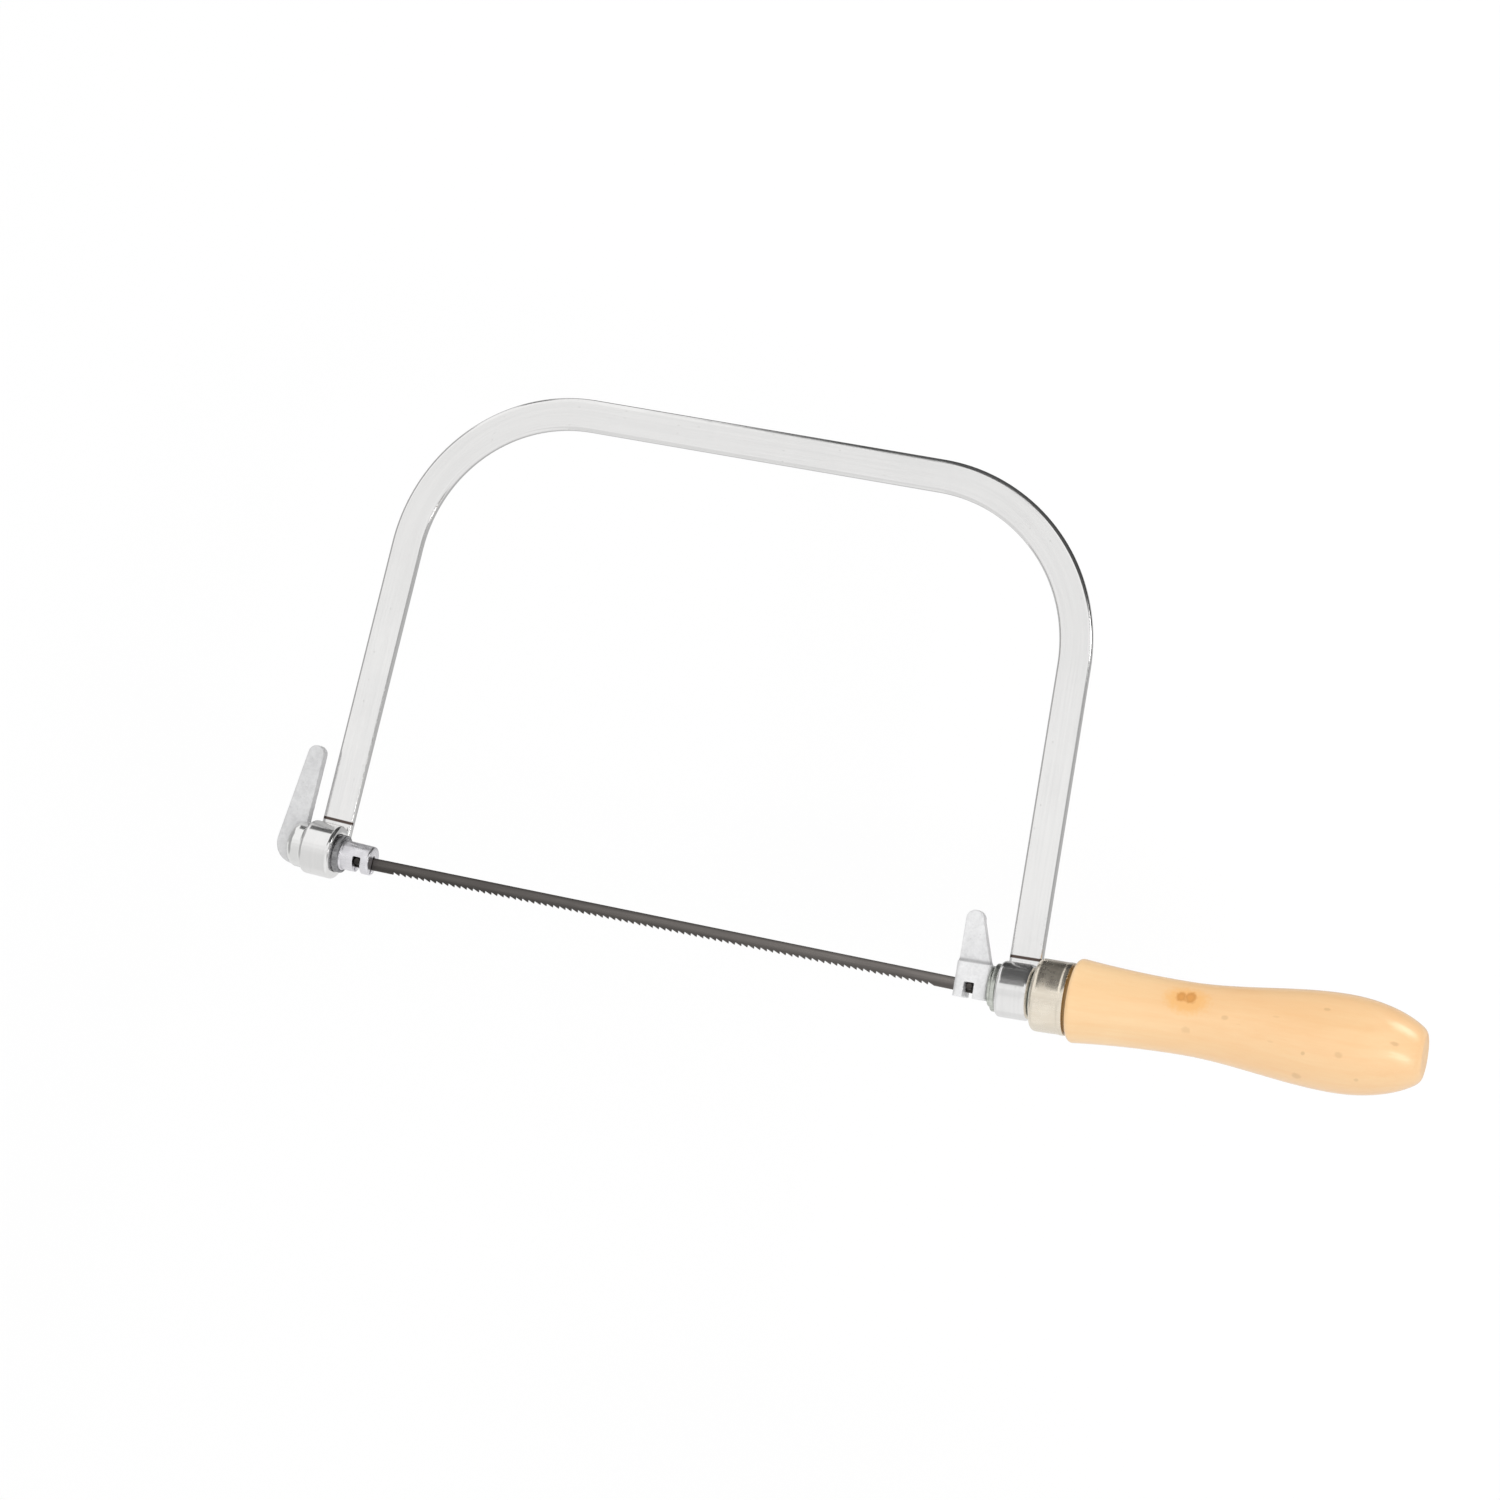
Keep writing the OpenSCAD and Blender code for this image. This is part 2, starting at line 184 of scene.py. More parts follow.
def makeMottle():  # cloudy patches with finer grain in them
    look = mottleLook
    tree, given, out = startGroup("mottle", [("Vector", "Vector"), ("Scale", "Float")],
                                  [("Patch", "Float"), ("Grain", "Float")])
    patch = noise(tree, given["Vector"], given["Scale"], look["patchDetail"], look["patchRough"], look["swirl"])
    fineScale = times(tree, given["Scale"], look["grainScale"])
    grain = noise(tree, given["Vector"], fineScale, look["grainDetail"], look["grainRough"])
    tree.links.new(between(tree, patch, look["low"], look["high"]), out.inputs["Patch"])
    tree.links.new(grain, out.inputs["Grain"])
    return tree


pitLook = {"core": 0.6}  # share of a dot's radius that has its full depth


def makePits():  # sparse small dots
    tree, given, out = startGroup("pits", [("Vector", "Vector"), ("Scale", "Float"), ("Size", "Float"),
                                           ("Share", "Float")], [("Mask", "Float")])
    cell = put(tree, "TexVoronoi", {"Vector": given["Vector"], "Scale": given["Scale"]})
    core = times(tree, given["Size"], pitLook["core"])
    dot = put(tree, "MapRange", {0: cell.outputs["Distance"], 1: given["Size"], 2: core}).outputs[0]
    pick = put(tree, "SeparateColor", {0: cell.outputs["Color"]}).outputs[0]
    chosen = calc(tree, "LESS_THAN", pick, given["Share"])
    tree.links.new(times(tree, dot, chosen), out.inputs["Mask"])
    return tree


wearLook = {"detail": 4.0, "low": 0.35, "high": 0.6}


def makeEdgeWear():  # rubbed edges, broken up by noise
    tree, given, out = startGroup("edgeWear", [("Vector", "Vector"), ("Scale", "Float"), ("Low", "Float"),
                                               ("High", "Float")], [("Mask", "Float")])
    point = tree.nodes.new("ShaderNodeNewGeometry").outputs["Pointiness"]
    edge = put(tree, "MapRange", {0: point, 1: given["Low"], 2: given["High"]}).outputs[0]
    rubbed = noise(tree, given["Vector"], given["Scale"], wearLook["detail"])
    broken = between(tree, rubbed, wearLook["low"], wearLook["high"])
    tree.links.new(times(tree, edge, broken), out.inputs["Mask"])
    return tree


markLook = {"ragScale": 1.1, "ragDetail": 2.0, "rag": 0.6, "outer": 1.2, "inner": 0.5, "rimFrom": 0.25, "rimTo": 0.7}


def makeGrainMark():  # one soft oval mark at a place in the wood, and its rim
    look = markLook
    tree, given, out = startGroup("grainMark", [("Vector", "Vector"), ("Centre", "Vector"), ("Size", "Vector"),
                                                ("Strength", "Float")], [("Mask", "Float"), ("Rim", "Float")])
    away = awayFrom(tree, given["Vector"], given["Centre"])
    far = lengthOf(tree, put(tree, "VectorMath", {0: away, 1: given["Size"]}, operation="DIVIDE").outputs[0])
    ragged = calc(tree, "ADD", far, sway(tree, given["Vector"], look["ragScale"], look["ragDetail"], look["rag"]))
    mask = times(tree, between(tree, ragged, look["outer"], look["inner"]), given["Strength"])
    hollow = between(tree, ragged, look["rimFrom"], look["rimTo"])
    tree.links.new(mask, out.inputs["Mask"])
    tree.links.new(times(tree, mask, hollow), out.inputs["Rim"])
    return tree


streaks, mottle, pits, edgeWear, grainMark = (
    makeStreaks(), makeMottle(), makePits(), makeEdgeWear(), makeGrainMark())
print("shared effects made")


# Finish helpers

def startFinish(name):
    material = bpy.data.materials.new(name)
    material.use_nodes = True
    tree = material.node_tree
    return material, tree, tree.nodes["Principled BSDF"]


def objectRun(tree):  # object coordinates in millimetres
    where = tree.nodes.new("ShaderNodeTexCoord").outputs["Object"]
    return stretch(tree, where, perMillimetre)


def surfaceRun(tree):  # along and around a swept or turned piece, in millimetres
    return put(tree, "UVMap", uv_map="run").outputs[0]


def join(tree, shader, colour, rough, height, bumpStrength, bumpDistance):
    tree.links.new(colour, shader.inputs["Base Color"])
    tree.links.new(rough, shader.inputs["Roughness"])
    bump = put(tree, "Bump", {"Height": height, "Strength": bumpStrength, "Distance": bumpDistance * mm})
    tree.links.new(bump.outputs[0], shader.inputs["Normal"])


# Mesh helpers

def gridMesh(rings, lengths, around, wrapRows=False, capped=False):
    bm = bmesh.new()
    uv = bm.loops.layers.uv.new("run")
    rows = [[bm.verts.new(p) for p in ring] for ring in rings]
    count = len(rings[0])
    pairs = [(i, i + 1) for i in range(len(rows) - 1)] + ([(len(rows) - 1, 0)] if wrapRows else [])
    for i, n in pairs:
        for j in range(count):
            k = (j + 1) % count
            face = bm.faces.new((rows[i][j], rows[i][k], rows[n][k], rows[n][j]))
            marks = ((lengths[i], around[j]), (lengths[i], around[j + 1]),
                     (lengths[i + 1], around[j + 1]), (lengths[i + 1], around[j]))
            for loop, mark in zip(face.loops, marks):
                loop[uv].uv = mark
    if capped:
        bm.faces.new(rows[0])
        bm.faces.new(rows[-1])
    bmesh.ops.remove_doubles(bm, verts=bm.verts, dist=weld * mm)
    bmesh.ops.recalc_face_normals(bm, faces=bm.faces)
    return bm


def addPiece(name, made, node):
    if isinstance(made, bmesh.types.BMesh):
        mesh = bpy.data.meshes.new(name)
        made.to_mesh(mesh)
        made.free()
    else:
        mesh = made
    mesh.shade_smooth()
    mesh.materials.clear()
    mesh.materials.append(finish[slotOf[node]])
    piece = bpy.data.objects.new(name, mesh)
    scene.collection.objects.link(piece)
    even = piece.modifiers.new("evenNormals", "WEIGHTED_NORMAL")
    even.keep_sharp = True
    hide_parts(node)
    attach(piece, bodyOf[node])
    return piece


def softOutline(corners, steps=4):  # each corner: station, radius, rounding
    points = []
    for i, (u, r, soft) in enumerate(corners):
        here = Vector((u, r))
        back = Vector(corners[i - 1][:2]) - here
        ahead = Vector(corners[(i + 1) % len(corners)][:2]) - here
        if soft == 0:
            points.append((u, r))
            continue
        start = here + back.normalized() * min(soft, back.length / 2)
        end = here + ahead.normalized() * min(soft, ahead.length / 2)
        for k in range(steps + 1):
            t = k / steps
            p = start * (1 - t) ** 2 + here * (2 * t * (1 - t)) + end * t * t
            points.append((p.x, p.y))
    return points


def lathe(outline, place, segments=96):
    angles = [math.pi / 2 + math.tau * i / segments for i in range(segments)]
    rings = [[place(u, r * math.sin(a), r * math.cos(a)) for a in angles] for u, r in outline]
    widest = max(r for u, r in outline)
    around = [widest * math.tau * i / segments for i in range(segments + 1)]
    lengths = runLengths(outline + outline[:1])
    return gridMesh(rings, lengths, around, wrapRows=True)


def softCopy(node, voxel, passes):  # the node's own shape with its sharp edges cast soft
    mesh = nodes[node].data.copy()
    mesh.transform(Matrix.Scale(1 / mm, 4))
    bm = bmesh.new()
    bm.from_mesh(mesh)
    bmesh.ops.remove_doubles(bm, verts=bm.verts, dist=weld)
    bm.to_mesh(mesh)
    bm.free()
    draft = bpy.data.objects.new(node + "Draft", mesh)
    scene.collection.objects.link(draft)
    skin = draft.modifiers.new("skin", "REMESH")
    skin.mode = "VOXEL"
    skin.voxel_size = voxel
    smooth = draft.modifiers.new("soften", "SMOOTH")
    smooth.factor = 0.5
    smooth.iterations = passes
    made = bpy.data.meshes.new_from_object(draft.evaluated_get(bpy.context.evaluated_depsgraph_get()))
    bpy.data.objects.remove(draft)
    made.transform(Matrix.Scale(mm, 4))
    return made


# Flat bar of the bow, with its ends rolled into eyes
bow = {"barT": 2.8, "barW": 8.4, "eyeD": 14.0, "backH": 123.7, "cornerR": 43.0, "edgeR": 1.0, "seam": 0.3,
       "toeReach": 10.8, "heelReach": 11.3, "rollSteps": 64, "cornerSteps": 40, "straightSteps": 16, "edgeSteps": 7,
       "cutRound": 0.25, "faceSplits": (0.06, 0.16, 0.5, 0.84, 0.94), "seamShadowColour": (0.10, 0.075, 0.065, 1),
       "seamHalf": 0.5, "seamAt": (8.1, 8.4)}
bow["midR"] = (bow["eyeD"] - bow["barT"]) / 2
bow["boreR"] = bow["eyeD"] / 2 - bow["barT"]
bow["roll"] = math.tau - math.acos((bow["boreR"] - bow["seam"]) / (bow["eyeD"] / 2))  # turn of each rolled eye


def bowHalf(reach):  # from the roll's end to the middle of the back: centre, wide and thick directions
    midR, cornerR = bow["midR"], bow["cornerR"]
    rise = bow["backH"] - cornerR
    leg = (rise - (reach - cornerR) * tiltSin) / tiltCos
    cornerX = halfSpan + (reach - cornerR) * tiltCos - leg * tiltSin
    out, up, back = Vector((tiltCos, 0, tiltSin)), Vector((-tiltSin, 0, tiltCos)), Vector((0, 1, 0))
    pivot = Vector((cornerX, midR, rise))
    foot = pivot + out * cornerR - up * leg
    eyeMid = foot - back * midR
    stations = []
    for i in range(bow["rollSteps"]):
        t = bow["roll"] * (1 - i / bow["rollSteps"])
        thick = back * math.cos(t) - up * math.sin(t)
        stations.append((eyeMid + thick * midR, out, thick))
    for i in range(bow["straightSteps"]):
        stations.append((foot + up * leg * i / bow["straightSteps"], out, back))
    lean = math.pi / 2 - saw["splay"]
    for i in range(bow["cornerSteps"] + 1):
        a = lean * (1 - i / bow["cornerSteps"])
        wide = Vector((math.sin(a), 0, math.cos(a)))
        stations.append((pivot + wide * cornerR, wide, back))
    steps = bow["straightSteps"] // 2
    for i in range(1, steps + 1):
        centre = Vector((cornerX * (1 - i / steps), midR, bow["backH"]))
        stations.append((centre, Vector((0, 0, 1)), back))
    return stations


bowPath = [(flip(c), flip(w), flip(t)) for c, w, t in bowHalf(bow["toeReach"])] + bowHalf(bow["heelReach"])[-2::-1]
bowRun = runLengths([c for c, w, t in bowPath])


# Plated and turned metals share one recipe
metals = {
    "bow_plate": {"dark": (0.83, 0.825, 0.82, 1), "light": (0.885, 0.88, 0.872, 1), "rough": (0.12, 0.19),
                  "length": 40.0, "fineness": 1.6, "patch": 0.05, "pitSize": 0.17, "pitShare": 0.22,
                  "bump": 0.05, "wear": 0.1},
    "spigot_metal": {"dark": (0.74, 0.73, 0.76, 1), "light": (0.89, 0.88, 0.91, 1), "rough": (0.24, 0.38),
                     "length": 9.0, "fineness": 3.5, "patch": 0.35, "pitSize": 0.12, "pitShare": 0.12,
                     "bump": 0.10, "wear": 0.4},
    # Painted shade: the dark washer's colours stand for a washer sitting in shadow
    "washer_dark": {"dark": (0.17, 0.17, 0.175, 1), "light": (0.46, 0.46, 0.47, 1), "rough": (0.30, 0.46),
                    "length": 9.0, "fineness": 3.0, "patch": 0.5, "pitSize": 0.14, "pitShare": 0.15,
                    "bump": 0.12, "wear": 0.4},
    "washer_pale": {"dark": (0.44, 0.46, 0.42, 1), "light": (0.68, 0.70, 0.65, 1), "rough": (0.24, 0.40),
                    "length": 9.0, "fineness": 3.0, "patch": 0.4, "pitSize": 0.14, "pitShare": 0.12,
                    "bump": 0.10, "wear": 0.5},
    "rod_steel": {"dark": (0.40, 0.40, 0.38, 1), "light": (0.62, 0.62, 0.60, 1), "rough": (0.25, 0.42),
                  "length": 6.0, "fineness": 3.0, "patch": 0.4, "pitSize": 0.12, "pitShare": 0.1,
                  "bump": 0.08, "wear": 0.4},
    "ferrule_plate": {"dark": (0.82, 0.74, 0.62, 1), "light": (0.90, 0.83, 0.71, 1), "rough": (0.22, 0.34),
                      "length": 14.0, "fineness": 2.4, "patch": 0.22, "pitSize": 0.12, "pitShare": 0.10,
                      "bump": 0.05, "wear": 0.5},
}
metalMix = {"grainAlong": ("bow_plate", "ferrule_plate"), "grainShare": 0.55, "patchShare": 0.45, "pitScale": 0.55,
            "pitShade": 0.55, "wear": {"Scale": 0.8, "Low": 0.53, "High": 0.60}, "worn": (0.92, 0.92, 0.91, 1),
            "patchGloss": 0.6, "grainGloss": 0.4, "glossFrom": 0.2, "glossTo": 0.8,
            "grainRelief": 0.5, "patchRelief": 0.2, "bumpDepth": 0.12, "metal": 1.0}


# Painted shadow: a dark line stands in for the shade in the crease where each rolled end closes on its leg
def paintedSeamShadow(tree, run):  # dark line where each rolled end closes on its leg's front face
    toe, heel = (bow["roll"] * bow["midR"] + at for at in bow["seamAt"])
    along, around, _ = split(tree, run)
    away = [calc(tree, "ABSOLUTE", calc(tree, "SUBTRACT", along, place)) for place in (toe, bowRun[-1] - heel)]
    near = between(tree, calc(tree, "MINIMUM", *away), bow["seamHalf"], bow["seamHalf"] / 2)
    halfWay = bow["barW"] + bow["barT"] - (4 - math.pi) * bow["edgeR"]  # half way round the bar's section
    return times(tree, near, calc(tree, "GREATER_THAN", around, halfWay))


def makeMetal(slot):
    look, mix = metals[slot], metalMix
    material, tree, shader = startFinish(slot)
    body = objectRun(tree)
    run = surfaceRun(tree) if slot in mix["grainAlong"] else body
    grain = useGroup(tree, streaks, {"Vector": run, "Length": look["length"], "Fineness": look["fineness"]})
    cloud = useGroup(tree, mottle, {"Vector": body, "Scale": look["patch"]})
    dots = useGroup(tree, pits, {"Vector": body, "Scale": mix["pitScale"], "Size": look["pitSize"],
                                 "Share": look["pitShare"]})
    worn = useGroup(tree, edgeWear, {"Vector": body, **mix["wear"]})
    shade = weigh(tree, (grain["Shade"], mix["grainShare"]), (cloud["Patch"], mix["patchShare"]))
    colour = tint(tree, shade, look["dark"], look["light"])
    colour = tint(tree, times(tree, worn["Mask"], look["wear"]), colour, mix["worn"])
    colour = tint(tree, times(tree, dots["Mask"], mix["pitShade"]), colour, look["dark"], "MULTIPLY")
    if slot == "bow_plate":
        colour = tint(tree, paintedSeamShadow(tree, run), colour, bow["seamShadowColour"])
    low, high = look["rough"]
    gloss = weigh(tree, (cloud["Patch"], mix["patchGloss"]), (grain["Height"], mix["grainGloss"]))
    rough = between(tree, gloss, mix["glossFrom"], mix["glossTo"], high, low)
    relief = weigh(tree, (grain["Height"], mix["grainRelief"]), (cloud["Grain"], mix["patchRelief"]))
    height = calc(tree, "SUBTRACT", relief, dots["Mask"])
    join(tree, shader, colour, rough, height, look["bump"], mix["bumpDepth"])
    shader.inputs["Metallic"].default_value = mix["metal"]
    return material


for slot in metals:
    finish[slot] = makeMetal(slot)
print("metal finishes made:", len(finish))


# The bow: one flat bar swept from the rolled toe eye over the back to the rolled heel eye

def barSection():
    halfT, halfW, r = bow["barT"] / 2, bow["barW"] / 2, bow["edgeR"]
    points = []
    for quarter, (sideW, sideT) in enumerate(((1, 1), (-1, 1), (-1, -1), (1, -1))):
        for k in range(bow["edgeSteps"] + 1):
            a = math.radians(90 * (quarter + k / bow["edgeSteps"]))
            points.append((sideW * (halfW - r) + r * math.cos(a), sideT * (halfT - r) + r * math.sin(a)))
        if quarter % 2 == 0:  # rows on the broad face, beside its rounded edges
            points += [(sideW * (halfW - r) * (1 - 2 * k), sideT * halfT) for k in bow["faceSplits"]]
    return points


def makeBow():
    section = barSection()
    rings = []
    for (c, w, t), at in zip(bowPath, bowRun):
        fromEnd = min(at, bowRun[-1] - at)
        inset = bow["cutRound"] * max(0.0, 1 - fromEnd / bow["cutRound"]) ** 2
        shrinkW, shrinkT = 1 - inset / (bow["barW"] / 2), 1 - inset / (bow["barT"] / 2)
        rings.append([(c + w * (a * shrinkW) + t * (b * shrinkT)) * mm for a, b in section])
    around = runLengths(section + section[:1])
    addPiece("bowBar", gridMesh(rings, bowRun, around, capped=True), "bow")


makeBow()
print("bow swept")


# Die-cast zinc. The toe lever is coloured darker than the heel clamp, and has a polished hub
zinc = {
    "dark": (0.70, 0.70, 0.705, 1), "light": (0.85, 0.85, 0.855, 1), "patch": 0.22, "patchShare": 0.6,
    "smallTimes": 4.5, "smallShare": 0.4, "rough": (0.44, 0.62), "metal": 0.45,
    "pits": {"Scale": 0.9, "Size": 0.2, "Share": 0.2}, "pitShade": 0.4,
    "wear": {"Scale": 1.0, "Low": 0.52, "High": 0.60}, "wearShare": 0.35, "worn": 0.88,
    "toeShade": 0.86, "change": 10.0,  # the two castings' shades change over within this distance of the middle
    "hubR": 6.3, "hubEdge": 0.2, "hubFace": 1.6, "hubFade": 0.5, "hubRough": 0.13, "hubRelief": 0.1,
    "hubColour": (0.86, 0.86, 0.85, 1),
    "crease": (4.9, 5.5, 6.3), "creaseShadowLevel": 0.72,  # from, darkest and to above the heel axis
    "smallRelief": 0.6, "patchRelief": 0.5, "bump": 0.22, "bumpDepth": 0.15,
}


def aboveAxis(tree, x, z, side):  # height above the spigot axis of the toe, side -1, or the heel, side 1
    out = calc(tree, "SUBTRACT", x, side * halfSpan)
    return weigh(tree, (z, tiltCos), (out, -side * tiltSin))


def makeZinc():
    look = zinc
    material, tree, shader = startFinish("cast_zinc")
    body = objectRun(tree)
    x, y, z = split(tree, body)
    cloud = useGroup(tree, mottle, {"Vector": body, "Scale": look["patch"]})
    small = useGroup(tree, mottle, {"Vector": body, "Scale": look["patch"] * look["smallTimes"]})
    dots = useGroup(tree, pits, {"Vector": body, **look["pits"]})
    worn = useGroup(tree, edgeWear, {"Vector": body, **look["wear"]})
    shade = weigh(tree, (cloud["Patch"], look["patchShare"]), (small["Patch"], look["smallShare"]))
    colour = tint(tree, shade, look["dark"], look["light"])
    toe = between(tree, x, look["change"], -look["change"])
    colour = tint(tree, toe, colour, grey(look["toeShade"]), "MULTIPLY")
    colour = tint(tree, times(tree, worn["Mask"], look["wearShare"]), colour, grey(look["worn"]))
    colour = tint(tree, times(tree, dots["Mask"], look["pitShade"]), colour, look["dark"], "MULTIPLY")
    far = lengthOf(tree, put(tree, "CombineXYZ", {0: y, 1: aboveAxis(tree, x, z, -1)}).outputs[0])
    disc = between(tree, far, look["hubR"] + look["hubEdge"], look["hubR"] - look["hubEdge"])
    face = between(tree, calc(tree, "ABSOLUTE", y), look["hubFace"], look["hubFace"] + look["hubFade"])
    hub = times(tree, times(tree, disc, face), toe)
    colour = tint(tree, hub, colour, look["hubColour"])
    start, middle, end = look["crease"]  # painted shade where the heel tab meets its block
    climb = aboveAxis(tree, x, z, 1)
    crease = calc(tree, "MINIMUM", between(tree, climb, start, middle), between(tree, climb, end, middle))
    crease = times(tree, crease, between(tree, x, -look["change"], look["change"]))
    colour = tint(tree, crease, colour, grey(look["creaseShadowLevel"]), "MULTIPLY")
    low, high = look["rough"]
    rough = between(tree, small["Patch"], 0.0, 1.0, high, low)
    rough = put(tree, "Mix", {0: hub, 2: rough, 3: look["hubRough"]}).outputs[0]
    relief = weigh(tree, (small["Grain"], look["smallRelief"]), (cloud["Grain"], look["patchRelief"]))
    height = calc(tree, "SUBTRACT", relief, dots["Mask"])
    height = times(tree, height, between(tree, hub, 0.0, 1.0, 1.0, look["hubRelief"]))
    join(tree, shader, colour, rough, height, look["bump"], look["bumpDepth"])
    tree.links.new(between(tree, hub, 0.0, 1.0, look["metal"], 1.0), shader.inputs["Metallic"])
    return material


# Cast and slotted pieces keep the node's form, with soft edges: name, voxel size and smoothing passes
castings = {"toe_lever": ("toeLeverCasting", 0.16, 8), "heel_clamp": ("heelClampCasting", 0.13, 7),
            "toe_spigot": ("toeSpigotHead", 0.13, 4)}
finish["cast_zinc"] = makeZinc()
for node, (name, voxel, passes) in castings.items():
    addPiece(name, softCopy(node, voxel, passes), node)
print("castings made:", len(castings))


# Turned rings on the two spigots: corners as station, radius and rounding
ringSteps = 6
ringShapes = {
    "toe_washer": ("toeWasherRing", toeEnd,
                   [(4.8, 4.2, 0.15), (4.8, 4.9, 0.3), (6.5, 4.9, 0.3), (6.5, 4.2, 0.15)]),
    "heel_washer": ("heelWasherRing", heelEnd,
                    [(4.9, 3.3, 0.15), (4.9, 4.9, 0.25), (5.7, 4.9, 0.25), (5.7, 3.3, 0.15)]),
    "heel_bush": ("heelBushFlanged", heelEnd,
                  [(5.8, 3.06, 0.2), (5.8, 6.0, 0.35), (7.0, 6.0, 0.3), (7.0, 4.14, 0.1), (15.5, 4.14, 0.2),
                   (15.5, 3.06, 0.2)]),
    "thrust_washer": ("thrustWasherRing", heelEnd,
                      [(15.6, 3.3, 0.12), (15.6, 6.0, 0.2), (16.2, 6.0, 0.2), (16.2, 3.3, 0.12)]),
    "ferrule": ("ferruleCup", heelEnd,
                [(16.3, 3.3, 0.2), (16.3, 9.1, 1.6), (23.5, 9.0, 0.2), (23.9, 9.1, 0.2), (25.0, 9.1, 0.3),
                 (25.0, 8.3, 0.2), (17.1, 8.3, 0.8), (17.1, 3.3, 0.1)]),
}
for node, (name, place, corners) in ringShapes.items():
    addPiece(name, lathe(softOutline(corners, ringSteps), place), node)
print("turned rings made:", len(ringShapes))


# Handle with its tenon and the bore for nut and rod
# Marks in the wood: distance behind the shoulder, angle up from the front, half sizes, strength
handle = {
    "face": 25.8, "len": 87.2, "shoulderD": 21.2, "shoulderR": 1.4, "waistD": 18.0, "waistAt": 28.5,
    "swellD": 24.2, "swellAt": 66.5, "buttD": 12.2, "buttRound": 1.3, "tenonFace": 17.1, "tenonD": 16.6,
    "tenonRound": 0.8, "nutLen": 18.0, "nutR": 5.85, "rodEnd": 42.6, "rodR": 3.3,
    "shoulderSteps": 8, "bodySteps": 90, "tailSteps": 36, "buttSteps": 8, "segments": 128,
    "pale": (0.930, 0.655, 0.362, 1), "deep": (0.905, 0.575, 0.290, 1), "line": (0.74, 0.43, 0.18, 1),
    "knot": (0.73, 0.33, 0.080, 1), "rim": (0.67, 0.31, 0.085, 1), "halo": (0.90, 0.49, 0.17, 1),
    "speck": (0.55, 0.33, 0.15, 1), "tenon": (0.42, 0.36, 0.21, 1), "tenonShadowEdge": (0.15, -0.05),
    "warm": (0.965, 0.90, 0.85, 1), "warmFrom": 6.0, "warmTo": 38.0, "warmShare": 0.6,
    "pith": (0.0, 9.0, -26.0), "ringStretch": (0.06, 1.0, 1.0), "ringRate": 1.7, "ringEdge": (0.1, 1.0),
    "ringShare": 0.15, "swayStretch": (0.2, 1.0, 1.0), "swayScale": 0.09, "swayDetail": 2.0, "sway": 7.0,
    "grain": {"Length": 16.0, "Fineness": 1.3}, "grainShare": 0.20,
    "fibre": {"Length": 26.0, "Fineness": 6.0}, "fibreShare": 0.05,
    "patchStretch": (0.4, 1.0, 1.0), "patch": 0.07, "patchShare": 0.55,
    "fleckStretch": (0.28, 1.0, 1.0), "fleck": {"Scale": 0.42, "Size": 0.13, "Share": 0.10}, "fleckShare": 0.16,
    "rough": (0.30, 0.40), "roughFrom": 0.2, "roughTo": 0.8, "relief": 0.35, "bump": 0.10, "bumpDepth": 0.15,
    "varnish": 0.6, "buttVarnish": 0.1, "varnishFade": 0.8, "varnishRough": 0.2, "specular": 0.3,
    "knots": [(27.8, 33.0, (1.3, 1.5, 1.4), 0.95), (30.1, 34.0, (1.55, 1.8, 1.75), 0.95),
              (52.0, 205.0, (1.5, 1.3, 1.3), 0.8)],
    "halos": [(29.4, 29.0, (6.0, 4.0, 4.0), 0.85), (52.0, 205.0, (4.5, 2.4, 2.4), 0.45)],
    "specks": [(39.5, 9.1, (1.0, 0.6, 0.6), 0.34), (30.3, -18.9, (1.2, 0.9, 0.9), 0.22),
               (63.7, 38.0, (0.9, 0.5, 0.5), 0.34), (59.7, -19.5, (0.55, 0.55, 0.55), 0.42),
               (68.3, -14.4, (1.1, 0.8, 0.8), 0.30), (58.3, -54.6, (1.3, 1.2, 1.2), 0.36),
               (72.9, -44.6, (0.6, 0.6, 0.6), 0.30), (80.9, 10.7, (1.6, 0.6, 0.6), 0.45),
               (16.0, 150.0, (0.9, 0.5, 0.5), 0.3), (44.0, 120.0, (0.9, 0.5, 0.5), 0.35),
               (70.0, 190.0, (1.0, 0.6, 0.6), 0.3), (62.0, 250.0, (0.6, 0.5, 0.5), 0.35)],
}


def handleRadius(s):  # s runs back from the shoulder
    h = handle
    if s < h["waistAt"]:
        return h["waistD"] / 2 + (h["shoulderD"] - h["waistD"]) / 2 * (1 - s / h["waistAt"]) ** 2
    if s < h["swellAt"]:
        t = (s - h["waistAt"]) / (h["swellAt"] - h["waistAt"])
        return (h["waistD"] + (h["swellD"] - h["waistD"]) * t * t * (3 - 2 * t)) / 2
    reach = (h["len"] - h["swellAt"]) / math.sqrt(1 - (h["buttD"] / h["swellD"]) ** 2)
    return h["swellD"] / 2 * math.sqrt(1 - ((s - h["swellAt"]) / reach) ** 2)


